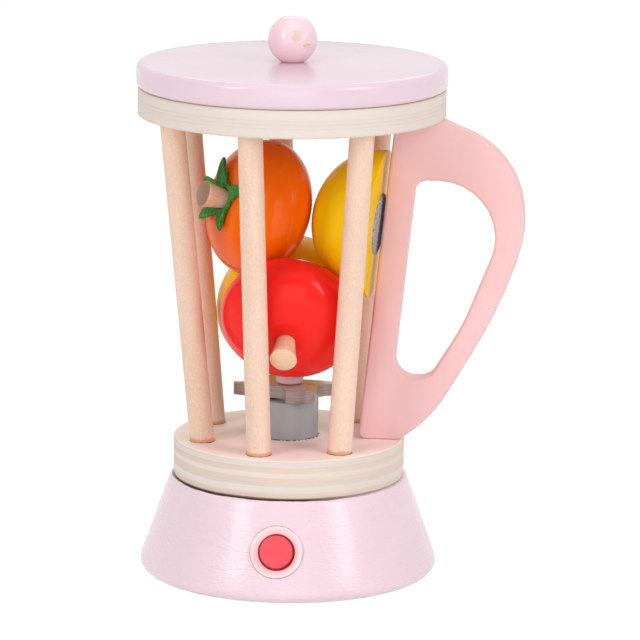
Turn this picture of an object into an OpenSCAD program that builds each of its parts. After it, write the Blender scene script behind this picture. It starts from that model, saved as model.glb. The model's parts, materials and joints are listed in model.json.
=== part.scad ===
// Wooden toy blender: turned base with a push button, a jug made of two plywood
// rounds, six slanting dowels and a flat handle, a loose lid, a turning blade and
// four pieces of loose play fruit.
// Millimetres, +Z up. The origin is the centre of the base's underside.
// The button faces -Y and the handle points along +X.

/* [Base] */
// Height of the base block
base_h = 40; // [34:0.5:50]
// Diameter of the base at the floor, before its edge is rounded
base_bottom_d = 125; // [112:0.2:140]
// Diameter of the base at its top, before its edge is rounded
base_top_d = 97; // [90:0.5:104]
// Rounding of the lower edge of the base
base_foot_r = 4; // [2:0.5:6]
// Rounding of the upper edge of the base
base_shoulder_r = 3; // [1:0.5:5]

/* [Button] */
// Height of the button's centre on the sloping face
button_z = 20.4; // [18:0.1:22]
// Diameter of the round trim ring in the base's face
bezel_d = 21.4; // [20:0.2:24]
// Thickness of the trim ring
bezel_t = 5; // [4:0.5:6]
// Diameter of the hole in the trim ring
bezel_hole_d = 14.8; // [13.8:0.2:16]
// How far the bevel of the trim ring sinks towards its hole
bezel_dish = 0.8; // [0.2:0.1:1.5]
// Diameter of the button
button_d = 13.1; // [10:0.1:13.4]
// How far the button stands out of the trim ring
button_proud = 3.2; // [2:0.1:6]
// Rounding of the button's edge
button_edge_r = 0.8; // [0.3:0.1:1.5]
// How far the button can be pressed
button_travel = 2.8; // [1.5:0.1:3.1]
// Thickness of the collar that keeps the button in the base
collar_t = 2.5; // [2:0.1:3]
// How much wider the collar is than the button, on the diameter
collar_extra = 3.4; // [2.6:0.2:4]
// Outer diameter of the spring
spring_d = 8; // [6:0.2:10]
// Diameter of the spring's wire
spring_wire = 0.8; // [0.6:0.05:1]
// Number of turns of the spring
spring_turns = 6; // [4:1:7]
// Depth of the spring's pocket behind the collar's chamber
pocket_h = 7.5; // [6:0.5:9]

/* [Jug] */
// Diameter of the plywood floor of the jug
floor_d = 94.6; // [88:0.2:96]
// Thickness of the plywood floor
floor_t = 15.8; // [14:0.1:18]
// Outer diameter of the top ring
ring_d = 124.8; // [120:0.2:140]
// Opening of the top ring
ring_hole_d = 82; // [76:0.5:86]
// Thickness of the top ring
ring_t = 11.2; // [11:0.1:15]
// Rounding of the plywood edges
ply_edge_r = 0.8; // [0.3:0.1:2]
// Height of the cage between the floor and the top ring
cage_h = 133.1; // [130:0.1:160]
// Radius of the circle of dowels where they leave the floor
cage_foot_r = 37.4; // [37.2:0.1:39]
// Radius of the circle of dowels where they meet the top ring
cage_top_r = 50.9; // [50.4:0.1:53]
// Diameter of the dowels
dowel_d = 10; // [7:0.1:10.2]
// How deep the dowels are sunk into the floor and the ring
dowel_sink = 8; // [5:0.5:9]
// Number of dowels
dowel_count = 6; // [4:1:6]
// Angle between neighbouring dowels, counted from the handle
dowel_angle = 52; // [51:0.5:52.5]
// Diameter of the peg under the floor, which centres the jug on the base
peg_d = 19.4; // [16:0.2:24]
// Length of the peg below the floor
peg_h = 10; // [6:0.5:14]
// Diameter of the tenon that fixes the peg, and of the post's spigot
tenon_d = 12; // [8:0.5:14]
// Length of the peg's tenon
tenon_h = 5.5; // [3:0.5:6]

/* [Handle] */
// Thickness of the flat handle
handle_t = 10; // [8:0.5:14]
// Rounding of the handle's edges
handle_edge_r = 1.2; // [0.6:0.1:2]
// Width of the handle's foot on the floor
handle_foot_w = 16.9; // [14:0.1:18]
// Length of the handle's flat top under the ring
handle_top_w = 17.6; // [14:0.1:19]
// Width of the straight bar that stands beside the fruit
handle_bar_w = 11.4; // [8:0.1:13]
// Gap between the handle's inner edge and the dowel circle's radius, inwards
handle_inset = 8.7; // [8.2:0.1:10]
// Diameter of the two dowel pins that hold the handle
handle_pin_d = 6; // [4:0.5:6.5]
// Length of each of these pins on either side of its joint
handle_pin_h = 8; // [5:0.5:9]

/* [Blade] */
// Diameter of the post under the blade
post_d = 24; // [18:0.5:26]
// Height of the post
post_h = 15.7; // [12:0.1:20]
// Length of the post's spigot in the floor
spigot_h = 8; // [4:0.5:8]
// Thickness of the washer under the blade
washer_t = 1; // [0.6:0.1:2]
// Diameter of the washer
washer_d = 13; // [10:0.5:15]
// Thickness of the blade
blade_t = 5; // [3:0.1:6]
// Reach of the two long blade arms
blade_long_r = 22.8; // [20:0.1:24]
// Reach of the two short blade arms
blade_short_r = 16.6; // [15:0.1:18]
// Width of a short blade arm
blade_short_w = 12.2; // [11.5:0.1:13]
// Diameter of the steel pin that the blade turns on
blade_pin_d = 5; // [4:0.1:6]
// Diameter of the cap over the blade
cap_d = 11.4; // [10:0.1:13]
// Height of the cap above the blade
cap_h = 4.1; // [3:0.1:6]

/* [Lid] */
// How far the lid stands out beyond the top ring
lid_over = 0.6; // [0:0.1:3]
// Thickness of the lid
lid_t = 10.2; // [8:0.1:14]
// Rounding of the lid's edges
lid_edge_r = 2.6; // [1:0.1:3.6]
// Thickness of the plug under the lid
plug_t = 7; // [4:0.5:9]
// Diameter of the knob
knob_d = 20; // [16:0.2:26]
// How far the knob's ball is cut flat at its foot and its top
knob_flat = 0.9; // [0.4:0.1:1.5]
// Diameter of the screw that holds the knob
screw_d = 4; // [3:0.1:5]

/* [Fruit] */
// Diameter of the two whole fruits
whole_d = 56.4; // [50:0.2:56.6]
// Thickness of the orange fruit along its stem
orange_t = 37.2; // [34:0.2:37.6]
// Thickness of the red fruit along its stem
red_t = 35.2; // [32:0.2:35.6]
// Depth of the hollow round a stem
dimple_depth = 3.6; // [1:0.1:4]
// Radius of the hollow round a stem
dimple_r = 7.5; // [6:0.1:9]
// Length of the cut yellow fruit
half_l = 60.4; // [54:0.2:60.6]
// Diameter of the cut yellow fruit before it is halved
half_d = 54.6; // [50:0.2:54.8]
// Diameter of the hook and loop discs
patch_d = 25; // [18:0.5:28]
// Thickness of the hook and loop discs
patch_t = 2; // [1.5:0.1:2.4]
// Depth of the seat of these discs
patch_sink = 1; // [0.5:0.1:1.4]
// Visible length of a stem
stem_l = 12; // [8:0.5:12.5]
// Diameter of a stem at its free end
stem_tip_d = 11; // [10:0.1:12]
// Diameter of a stem where it leaves the fruit
stem_root_d = 7.7; // [7:0.1:8.2]
// Length of the stem's tenon inside the fruit
stem_tenon_l = 9; // [5:0.5:11]
// Reach of the felt leaf's lobes from the stem
leaf_r = 19; // [14:0.5:20]
// Thickness of the felt leaf
leaf_t = 1.6; // [1.2:0.1:2]

/* [Clearances] */
// Glue gap round dowels, pins and tenons, on the radius
glue_gap = 0.05; // [0.02:0.01:0.1]
// Running gap of the blade on its pin and of the button's collar, on the radius
run_gap = 0.08; // [0.04:0.01:0.1]
// Gap between the peg and its socket in the base, on the radius
peg_play = 0.6; // [0.3:0.1:1]
// Gap between the lid's plug and the ring, on the radius
plug_play = 1; // [0.5:0.1:1.5]
// Least gap between loose pieces that lie against each other
rest_gap = 0.3; // [0.2:0.05:0.4]

/* [Hidden] */
$fn = 96;

// --- Colours ---
base_pink = [0.96, 0.84, 0.88];
lid_pink = [0.95, 0.80, 0.84];
handle_pink = [0.96, 0.76, 0.77];
beech = [0.87, 0.75, 0.65];
ply = [0.88, 0.82, 0.75];
grey_paint = [0.60, 0.59, 0.59];
steel = [0.70, 0.70, 0.72];
orange_paint = [0.97, 0.41, 0.10];
red_paint = [0.90, 0.10, 0.09];
yellow_paint = [0.98, 0.79, 0.12];
felt_green = [0.16, 0.52, 0.20];

// --- Heights of the stack ---
floor_z = base_h;                        // underside of the jug's floor
cage_z = floor_z + floor_t;              // top of the floor
ring_z = cage_z + cage_h;                // underside of the top ring
lid_z = ring_z + ring_t;                 // underside of the lid
knob_z = lid_z + lid_t;                  // top of the lid
washer_z = cage_z + post_h;
blade_z = washer_z + washer_t;
cap_z = blade_z + blade_t + rest_gap;    // underside of the cap
cap_top = cap_z + cap_h;

// --- The sloping face that carries the button ---
base_foot = base_bottom_d / 2;
base_top = base_top_d / 2;
face_slope = atan((base_foot - base_top) / base_h);
face_r = base_foot - (base_foot - base_top) * button_z / base_h;
collar_d = button_d + collar_extra;
collar_z = -bezel_t - rest_gap / 3;      // collar's front, seen from the face
chamber_h = collar_t + button_travel + rest_gap * 2;
pocket_z = -bezel_t - chamber_h;         // mouth of the spring's pocket
spring_rest = 0.15;                      // gap at each end of the spring

// --- The cage ---
// Radius of the dowel circle at height z
function cage_r(z) = cage_foot_r + (cage_top_r - cage_foot_r) * (z - cage_z) / cage_h;
cage_lean = (cage_top_r - cage_foot_r) / cage_h;
// Inner edge of the handle at height z
function handle_x(z) = cage_r(z) - handle_inset;

// --- Directions: azimuth from -Y towards +X, then height above the horizon ---
function aim(az, el) = [sin(az) * cos(el), -cos(az) * cos(el), sin(el)];
function dowel_az(i) = 90 - i * dowel_angle;
function dowel_at(i, z) = cage_r(z) * aim(dowel_az(i), 0) + [0, 0, z];

// --- Outlines: corners [x, y, radius] become points with true tangent arcs ---
function unit(v) = v / norm(v);
function edge_a(c, i) = unit([for (k = [0:1]) c[(i + len(c) - 1) % len(c)][k] - c[i][k]]);
function edge_b(c, i) = unit([for (k = [0:1]) c[(i + 1) % len(c)][k] - c[i][k]]);
function corner_angle(c, i) = acos(edge_a(c, i) * edge_b(c, i));
function arc_span(a) = a > 180 ? a - 360 : a < -180 ? a + 360 : a;
function corner_points(c, i, n) =
    let (b = [c[i][0], c[i][1]], r = c[i][2], half = corner_angle(c, i) / 2)
    r == 0 ? [b] :
    let (
        mid = b + unit(edge_a(c, i) + edge_b(c, i)) * r / sin(half),
        p = b + edge_a(c, i) * r / tan(half) - mid,
        q = b + edge_b(c, i) * r / tan(half) - mid,
        from = atan2(p[1], p[0]),
        span = arc_span(atan2(q[1], q[0]) - from)
    )
    [for (k = [0:n]) mid + r * [cos(from + span * k / n), sin(from + span * k / n)]];
function outline(c, n = 6) = [for (i = [0:len(c) - 1]) each corner_points(c, i, n)];
// The same corners of a convex outline moved inwards by e, or outwards where e < 0
function inset(c, e) = [
    for (i = [0:len(c) - 1])
    let (move = unit(edge_a(c, i) + edge_b(c, i)) * e / sin(corner_angle(c, i) / 2))
    [c[i][0] + move[0], c[i][1] + move[1], max(c[i][2] - e, 0)]
];

// --- Turned shapes ---
// A disc of radius r and thickness t with rounded edges
module round_disc(r, t, edge_r) {
    rotate_extrude()
        polygon(outline([[0, 0, 0], [r, 0, edge_r], [r, t, edge_r], [0, t, 0]]));
}

// A flat ring with rounded edges
module round_ring(r, hole_r, t, edge_r) {
    rotate_extrude()
        polygon(outline([
            [hole_r, 0, edge_r], [r, 0, edge_r], [r, t, edge_r], [hole_r, t, edge_r]
        ]));
}

// --- Base and button ---
// Puts things on the sloping face: local +Z points out of the face
module on_face() {
    translate([0, -face_r, button_z]) rotate([90 - face_slope, 0, 0]) children();
}

module base_block() {
    color(base_pink)
        difference() {
            rotate_extrude()
                polygon(outline([
                    [0, 0, 0], [base_foot, 0, base_foot_r],
                    [base_top, base_h, base_shoulder_r], [0, base_h, 0]
                ]));
            translate([0, 0, base_h - peg_h - 1])
                cylinder(d = peg_d + 2 * peg_play, h = peg_h + 2);
            on_face() {
                translate([0, 0, -bezel_t])
                    cylinder(d = bezel_d + 2 * glue_gap, h = bezel_t + 10);
                translate([0, 0, pocket_z])
                    cylinder(d = collar_d + 2 * run_gap, h = chamber_h + 1);
                translate([0, 0, pocket_z - pocket_h])
                    cylinder(d = spring_d + 2 * peg_play, h = pocket_h + 1);
            }
        }
}

module button_bezel() {
    color(handle_pink)
        on_face() translate([0, 0, -bezel_t])
            rotate_extrude()
                polygon(outline([
                    [bezel_hole_d / 2, 0, 0], [bezel_d / 2, 0, 0],
                    [bezel_d / 2, bezel_t, 0.3], [bezel_d / 2 - 0.9, bezel_t, 0],
                    [bezel_hole_d / 2, bezel_t - bezel_dish, 0.3]
                ]));
}

module button() {
    color(red_paint)
        on_face() {
            translate([0, 0, collar_z - collar_t])
                round_disc(button_d / 2, collar_t - collar_z + button_proud, button_edge_r);
            translate([0, 0, collar_z - collar_t]) cylinder(d = collar_d, h = collar_t);
        }
}

// A coil as one tube: rings of points square to the helix, closed at both ends
coil_rings = 8;
coil_sides = 6;
spring_r = (spring_d - spring_wire) / 2;
spring_top = collar_z - collar_t - spring_rest - spring_wire / 2;
spring_foot = pocket_z - pocket_h + spring_rest + spring_wire / 2;
spring_rise = (spring_top - spring_foot) / spring_turns;
function coil_ring(i) =
    let (a = 360 * i / coil_rings, z = spring_foot + spring_rise * i / coil_rings)
    [for (k = [0:coil_sides - 1])
        let (b = 360 * k / coil_sides, w = spring_wire / 2)
        [(spring_r + w * cos(b)) * cos(a), (spring_r + w * cos(b)) * sin(a), z + w * sin(b)]];

module button_spring() {
    n = spring_turns * coil_rings;
    points = [for (i = [0:n]) each coil_ring(i)];
    function at(i, k) = i * coil_sides + k % coil_sides;
    faces = concat(
        [[for (k = [0:coil_sides - 1]) k]],
        [for (i = [0:n - 1], k = [0:coil_sides - 1])
            each [[at(i, k), at(i + 1, k), at(i + 1, k + 1)],
                  [at(i, k), at(i + 1, k + 1), at(i, k + 1)]]],
        [[for (k = [coil_sides - 1:-1:0]) at(n, k)]]
    );
    color(steel) on_face() polyhedron(points, faces);
}

// --- Jug ---
// One dowel, or its socket where it is made wider and longer
module dowel_rod(i, extra_r, extra_l) {
    foot = dowel_at(i, cage_z - dowel_sink);
    top = dowel_at(i, ring_z + dowel_sink);
    lean = acos(unit(top - foot)[2]);
    translate(foot) rotate([0, 0, dowel_az(i)]) rotate([lean, 0, 0])
        translate([0, 0, -extra_l])
            cylinder(r = dowel_d / 2 + extra_r, h = norm(top - foot) + 2 * extra_l);
}

module dowel_sockets() {
    for (i = [1:dowel_count]) dowel_rod(i, glue_gap, glue_gap);
}

module dowel(i) {
    if (i <= dowel_count) color(beech) dowel_rod(i, 0, 0);
}

handle_foot_pin_x = handle_x(cage_z) + handle_foot_w / 2;
handle_top_pin_x = handle_x(ring_z) + handle_top_w / 2 - 1;
module handle_pin_set(extra_r, extra_l) {
    translate([handle_foot_pin_x, 0, cage_z - handle_pin_h - extra_l])
        cylinder(r = handle_pin_d / 2 + extra_r, h = 2 * (handle_pin_h + extra_l));
    translate([handle_top_pin_x, 0, ring_z - handle_pin_h - extra_l])
        cylinder(r = handle_pin_d / 2 + extra_r, h = 2 * (handle_pin_h + extra_l));
}

module jug_floor() {
    color(ply)
        difference() {
            translate([0, 0, floor_z]) round_disc(floor_d / 2, floor_t, ply_edge_r);
            dowel_sockets();
            handle_pin_set(glue_gap, glue_gap);
            translate([0, 0, floor_z - 1]) cylinder(d = tenon_d + 2 * glue_gap, h = floor_t + 2);
        }
}

module jug_peg() {
    color(beech) {
        translate([0, 0, floor_z - peg_h]) round_disc(peg_d / 2, peg_h, 1);
        translate([0, 0, floor_z - 1]) cylinder(d = tenon_d, h = tenon_h + 1);
    }
}

module top_ring() {
    color(ply)
        difference() {
            translate([0, 0, ring_z])
                round_ring(ring_d / 2, ring_hole_d / 2, ring_t, ply_edge_r);
            dowel_sockets();
            handle_pin_set(glue_gap, glue_gap);
        }
}

// Corners of the handle's outer edge, from its inner top corner clockwise
shoulder_out = 29.1; // how far the first turn stands out beyond the flat top
shoulder_drop = 12.4; // how far it lies below the ring
grip_out = 37.2;     // how far the grip swings beyond the flat top
grip_drop = 42;      // how far below the ring it turns back
knee_in = 10.4;      // how far the lower grip comes back in
knee_drop = 75.9;    // height of that turn below the ring
heel_rise = 9.1;     // rise of the heel's corner above the floor
heel_out = 13;       // how far the heel stands out from the foot
top_end_x = handle_x(ring_z) + handle_top_w;
foot_end_x = handle_x(cage_z) + handle_foot_w;
handle_edge = [
    [handle_x(ring_z), ring_z, 2],
    [top_end_x, ring_z, 3],
    [top_end_x + shoulder_out, ring_z - shoulder_drop, 36],
    [top_end_x + grip_out, ring_z - grip_drop, 44],
    [top_end_x + grip_out - knee_in, ring_z - knee_drop, 190],
    [foot_end_x + heel_out, cage_z + heel_rise, 58],
    [foot_end_x, cage_z, 4],
    [handle_x(cage_z), cage_z, 3]
];
// Corners of the finger hole, from its lower inner corner clockwise
hole_rise = 26;      // floor to the lower edge of the hole
hole_drop = 25.3;    // ring to the upper edge of the hole
hole_top_w = 43.3;   // length of the upper edge between its corners
hole_grip_in = 24.1; // how far the grip's inner corner lies inside the upper one
hole_grip_drop = 61; // how far it lies below the upper edge
hole_foot_w = 14.8;  // length of the lower edge
hole_z = cage_z + hole_rise;
hole_top = ring_z - hole_drop;
hole_x = handle_x(hole_z) + handle_bar_w;
hole_top_x = handle_x(hole_top) + handle_bar_w;
finger_edge = [
    [hole_x, hole_z, 8],
    [hole_top_x, hole_top, 5],
    [hole_top_x + hole_top_w, hole_top, 23.5],
    [hole_top_x + hole_top_w - hole_grip_in, hole_top - hole_grip_drop, 90],
    [hole_x + hole_foot_w, hole_z, 7.5]
];

// A plate as a stack of outlines: each level is [y, how far the outline moves inwards]
module stack(corners, levels) {
    rings = [for (level = levels) outline(inset(corners, level[1]), 9)];
    n = len(rings[0]);
    top = len(levels) - 1;
    function at(i, k) = i * n + k % n;
    points = [for (i = [0:top]) each [for (p = rings[i]) [p[0], levels[i][0], p[1]]]];
    faces = concat(
        [[for (k = [0:n - 1]) at(0, k)]],
        [for (i = [0:top - 1], k = [0:n - 1])
            each [[at(i, k), at(i + 1, k), at(i + 1, k + 1)],
                  [at(i, k), at(i + 1, k + 1), at(i, k + 1)]]],
        [[for (k = [n - 1:-1:0]) at(top, k)]]
    );
    polyhedron(points, faces);
}

// Levels of a rounded edge, from the front face to the back; way is 1 or, for a hole, -1
round_steps = 3;
function round_levels(way) = concat(
    [for (k = [0:round_steps]) let (a = 90 * k / round_steps)
        [-handle_t / 2 + handle_edge_r * (1 - cos(a)), way * handle_edge_r * (1 - sin(a))]],
    [for (k = [round_steps:-1:0]) let (a = 90 * k / round_steps)
        [handle_t / 2 - handle_edge_r * (1 - cos(a)), way * handle_edge_r * (1 - sin(a))]]
);
hole_levels = concat(
    [[-handle_t, -handle_edge_r]], round_levels(-1), [[handle_t, -handle_edge_r]]
);

module handle() {
    color(handle_pink)
        difference() {
            stack(handle_edge, round_levels(1));
            stack(finger_edge, hole_levels);
            handle_pin_set(glue_gap, glue_gap);
        }
}

module handle_pins() {
    color(beech) handle_pin_set(0, 0);
}

// --- Blade ---
module blade_post() {
    color(grey_paint)
        difference() {
            union() {
                translate([0, 0, cage_z]) round_disc(post_d / 2, post_h, 0.6);
                translate([0, 0, cage_z - spigot_h])
                    cylinder(d = tenon_d, h = spigot_h + 1);
            }
            translate([0, 0, cage_z]) cylinder(d = blade_pin_d + 2 * glue_gap, h = post_h + 1);
        }
}

module blade_washer() {
    color(steel)
        translate([0, 0, washer_z])
            round_ring(washer_d / 2, blade_pin_d / 2 + glue_gap, washer_t - 0.1, 0.1);
}

tip_w = 2.2;         // width of a long arm at its square tip
waist = 7.6;         // half width of the blade where its arms meet
// Half of the blade's edge: a long arm, then the broad short arm beside it
blade_half = [
    [blade_long_r, 0, 0.4], [blade_long_r, tip_w, 0.8],
    [14, 5.6, 20], [2, waist, 2.5],
    [0, blade_short_r, 0.4], [-blade_short_w, blade_short_r, 10], [-blade_short_w, 0, 5.8]
];
blade_edge = concat(blade_half, [for (c = blade_half) [-c[0], -c[1], c[2]]]);

module blade() {
    color(grey_paint)
        translate([0, 0, blade_z])
            difference() {
                linear_extrude(blade_t) polygon(outline(blade_edge));
                translate([0, 0, -1])
                    cylinder(d = blade_pin_d + 2 * run_gap, h = blade_t + 2);
            }
}

pin_foot = cage_z + 1;
pin_top = cap_z + cap_h - 1.4;
module blade_pin() {
    color(steel) translate([0, 0, pin_foot]) cylinder(d = blade_pin_d, h = pin_top - pin_foot);
}

module blade_cap() {
    color(lid_pink)
        difference() {
            translate([0, 0, cap_z]) round_disc(cap_d / 2, cap_h, 0.8);
            translate([0, 0, cap_z - 1])
                cylinder(d = blade_pin_d + 2 * glue_gap, h = pin_top + glue_gap - cap_z + 1);
        }
}

// --- Lid ---
screw_head_d = 2 * screw_d;
screw_head_h = screw_d / 2;
screw_tip = knob_z + knob_d / 2;
plug_z = lid_z - plug_t;
module screw_shape(extra) {
    translate([0, 0, plug_z - 1]) cylinder(d = screw_head_d + 2 * extra, h = 1 + 0.4);
    translate([0, 0, plug_z + 0.4])
        cylinder(d1 = screw_head_d + 2 * extra, d2 = screw_d + 2 * extra, h = screw_head_h);
    translate([0, 0, plug_z + 0.4])
        cylinder(d = screw_d + 2 * extra, h = screw_tip + extra - plug_z - 0.4);
}

module lid_disc() {
    color(lid_pink)
        difference() {
            translate([0, 0, lid_z]) round_disc(ring_d / 2 + lid_over, lid_t, lid_edge_r);
            screw_shape(glue_gap);
        }
}

module lid_plug() {
    color(ply)
        difference() {
            translate([0, 0, plug_z]) round_disc(ring_hole_d / 2 - plug_play, plug_t, ply_edge_r);
            screw_shape(glue_gap);
        }
}

module lid_knob() {
    ball = knob_d / 2;
    color(lid_pink)
        difference() {
            intersection() {
                translate([0, 0, knob_z + ball - knob_flat]) sphere(ball);
                translate([0, 0, knob_z])
                    cylinder(r = knob_d, h = knob_d - 2 * knob_flat);
            }
            screw_shape(glue_gap);
        }
}

module knob_screw() {
    color(steel)
        difference() {
            screw_shape(0);
            translate([0, 0, plug_z - 2]) cylinder(d = screw_head_d + 1, h = 2.2);
            for (a = [0, 90])
                rotate([0, 0, a])
                    translate([-screw_d / 2, -0.4, plug_z]) cube([screw_d, 0.8, 1.1]);
        }
}

// --- Fruit: where each piece lies ---
orange_az = -56.5;       // its stem points to the left, forwards and up
orange_el = 16.7;
red_az = -1.5;           // its stem points forwards and down
red_el = -28.9;
orange_axis = aim(orange_az, orange_el);
red_axis = aim(red_az, red_el);
front_half_az = 82.7;    // the cut face looks at the handle, turned a little forwards
back_half_az = 172;      // the cut face looks backwards
back_half_el = -5;
back_half_roll = 125;
whole_r = whole_d / 2;

// Half the width, along direction n, of a solid of revolution round the unit axis a
function reach(n, a, r, h) = sqrt(r * r + (h * h - r * r) * pow(n * a, 2));
// Depth of its lowest point under its centre at the plan offset [dx, dy]
function depth_under(a, r, h, d) =
    let (
        k = 1 / (h * h) - 1 / (r * r),
        s = a[0] * d[0] + a[1] * d[1],
        qa = 1 / (r * r) + k * a[2] * a[2],
        qb = k * a[2] * s,
        qc = (d[0] * d[0] + d[1] * d[1]) / (r * r) + k * s * s - 1
    )
    (qb + sqrt(qb * qb - qa * qc)) / qa;
// Height of a centre whose piece touches another across the direction n
function height_on(n, xy, base, apart) =
    base[2] + (apart - n[0] * (xy[0] - base[0]) - n[1] * (xy[1] - base[1])) / n[2];
// Long axis of a halved fruit whose cut face looks along az, el, rolled round it
function long_axis(az, el, roll) =
    let (up = aim(az, el + 90), side = cross(up, aim(az, el)))
    cos(roll) * up + sin(roll) * side;

// The red fruit stands on the cap and leans on a front dowel
red_x = 1.2;
red_lean = aim(40, 0);
red_dowel = dowel_at(1, cap_top + whole_r);
red_y = red_dowel[1] + ((red_dowel[0] - red_x) * red_lean[0] - dowel_d / 2 - rest_gap
    - reach(red_lean, red_axis, whole_r, red_t / 2)) / red_lean[1];
red_rim = unit([red_x, red_y]) * cap_d / 2 - [red_x, red_y];
red_c = [red_x, red_y, cap_top + rest_gap + depth_under(red_axis, whole_r, red_t / 2, red_rim)];

// The back half stands beside the blade with its cut face to the back dowels
back_axis = long_axis(back_half_az, back_half_el, back_half_roll);
back_inset = 10.6;       // the back dowels' circle to the middle of the cut face
back_x = -4.1;
back_y = cage_r(blade_z + half_d / 2) - back_inset;
back_rim = unit([back_x, back_y]) * (blade_long_r + 0.7) - [back_x, back_y];
back_c = [back_x, back_y,
    blade_z + blade_t + rest_gap + depth_under(back_axis, half_d / 2, half_l / 2, back_rim)];

// The front half leans on the handle, and on the red fruit
handle_tilt = atan(cage_lean);
front_axis = long_axis(front_half_az, -handle_tilt, 0);
front_y = -0.5;
front_back_off = (patch_t - patch_sink + rest_gap) / cos(handle_tilt)
    + tan(90 - front_half_az) * (handle_t / 2 - handle_edge_r / 2 - front_y);
front_on_red = aim(134, 42);
front_apart = rest_gap + reach(front_on_red, red_axis, whole_r, red_t / 2)
    + reach(front_on_red, front_axis, half_d / 2, half_l / 2);
front_z = red_c[2] + (front_apart - front_on_red[1] * (front_y - red_c[1])
    - front_on_red[0] * (handle_x(red_c[2]) - front_back_off - red_c[0]))
    / (front_on_red[2] + front_on_red[0] * cage_lean);
front_c = [handle_x(front_z) - front_back_off, front_y, front_z];

// The orange fruit lies on the red one and on the back half
orange_xy = [-13.75, 6.7];
orange_on_red = aim(-158.8, 48.1);
orange_on_back = aim(-35.2, 48.4);
orange_c = concat(orange_xy, [max(
    height_on(orange_on_red, orange_xy, red_c, rest_gap
        + reach(orange_on_red, red_axis, whole_r, red_t / 2)
        + reach(orange_on_red, orange_axis, whole_r, orange_t / 2)),
    height_on(orange_on_back, orange_xy, back_c, rest_gap
        + reach(orange_on_back, back_axis, half_d / 2, half_l / 2)
        + reach(orange_on_back, orange_axis, whole_r, orange_t / 2))
)]);

// --- Fruit: shapes ---
// Height of a whole fruit's skin above its middle, at the distance r from its axis
function skin_z(r, h) =
    h * sqrt(1 - pow(r / whole_r, 2)) - dimple_depth * exp(-pow(r / dimple_r, 2));

module whole_fruit(h) {
    n = 40;
    foot_dimple = 1;
    difference() {
        rotate_extrude()
            polygon(concat(
                [for (k = [0:n / 2]) let (t = -90 + 180 * k / n, r = whole_r * cos(t))
                    [r, h * sin(t) + foot_dimple * exp(-pow(r / dimple_r, 2))]],
                [for (k = [n / 2 + 1:n]) let (r = k == n ? 0 : whole_r * cos(-90 + 180 * k / n))
                    [r, skin_z(r, h)]]
            ));
        translate([0, 0, skin_z(0, h) - stem_tenon_l - glue_gap])
            cylinder(d = stem_root_d - 1.5 + 2 * glue_gap, h = stem_tenon_l + 1);
        translate([0, 0, skin_z(0, h)])
            cylinder(d = stem_root_d + 4 * glue_gap, h = 2 * dimple_depth);
    }
}

module place_whole(c, az, el) {
    translate(c) rotate([0, 0, az]) rotate([90 - el, 0, 0]) children();
}

// A flared stem with its tenon, standing in the hollow of a fruit of half height h
module stem(h) {
    root = stem_root_d / 2;
    tip = stem_tip_d / 2;
    translate([0, 0, skin_z(0, h) + glue_gap])
        rotate_extrude()
            polygon(concat(
                [[0, -stem_tenon_l], [root - 0.75, -stem_tenon_l], [root - 0.75, 0]],
                [for (k = [0:8]) let (u = k / 8)
                    [root + (tip - root) * pow(u, 1.6), u * (stem_l - 0.7)]],
                [[tip - 0.15, stem_l - 0.3], [tip - 0.7, stem_l], [0, stem_l]]
            ));
}

module half_fruit() {
    n = 40;
    difference() {
        intersection() {
            rotate_extrude()
                polygon([for (k = [0:n]) let (t = -90 + 180 * k / n)
                    [k % n == 0 ? 0 : half_d / 2 * cos(t), half_l / 2 * sin(t)]]);
            translate([-half_d, -half_d, -half_l]) cube([half_d, 2 * half_d, 2 * half_l]);
        }
        translate([-patch_sink, 0, 0]) rotate([0, 90, 0])
            cylinder(d = patch_d + 2 * glue_gap, h = patch_sink + 1);
    }
}

module patch() {
    translate([-patch_sink, 0, 0]) rotate([0, 90, 0]) round_disc(patch_d / 2, patch_t, 0.4);
}

module place_half(c, az, el, roll) {
    translate(c) rotate([0, 0, az - 90]) rotate([0, -el, 0]) rotate([-roll, 0, 0]) children();
}

module place_front() {
    place_half(front_c, front_half_az, -handle_tilt, 0) children();
}

module place_back() {
    place_half(back_c, back_half_az, back_half_el, back_half_roll) children();
}

// Felt leaf: a star of five lobes that follows the fruit's skin
leaf_turn = -19;
function lobe_r(a) = leaf_r * (0.42 + 0.58 * pow(abs(cos(2.5 * a)), 1.5));
module leaf(h) {
    steps = 60;
    rings = 5;
    eye_r = stem_root_d / 2 + 0.5;
    function at(face, i, j) = face * steps * (rings + 1) + (i % steps) * (rings + 1) + j;
    points = [for (face = [0, 1], i = [0:steps - 1], j = [0:rings])
        let (a = 360 * i / steps, r = eye_r + (lobe_r(a + leaf_turn) - eye_r) * j / rings)
        [r * cos(a), r * sin(a), skin_z(r, h) + rest_gap + face * leaf_t]];
    faces = concat(
        [for (i = [0:steps - 1], j = [0:rings - 1])
            each [[at(0, i, j), at(0, i, j + 1), at(0, i + 1, j + 1)],
                  [at(0, i, j), at(0, i + 1, j + 1), at(0, i + 1, j)],
                  [at(1, i, j), at(1, i + 1, j + 1), at(1, i, j + 1)],
                  [at(1, i, j), at(1, i + 1, j), at(1, i + 1, j + 1)]]],
        [for (i = [0:steps - 1])
            each [[at(0, i, 0), at(0, i + 1, 0), at(1, i + 1, 0)],
                  [at(0, i, 0), at(1, i + 1, 0), at(1, i, 0)],
                  [at(0, i, rings), at(1, i + 1, rings), at(0, i + 1, rings)],
                  [at(0, i, rings), at(1, i, rings), at(1, i + 1, rings)]]]
    );
    polyhedron(points, faces);
}

module place_orange() { place_whole(orange_c, orange_az, orange_el) children(); }
module place_red() { place_whole(red_c, red_az, red_el) children(); }

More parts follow.
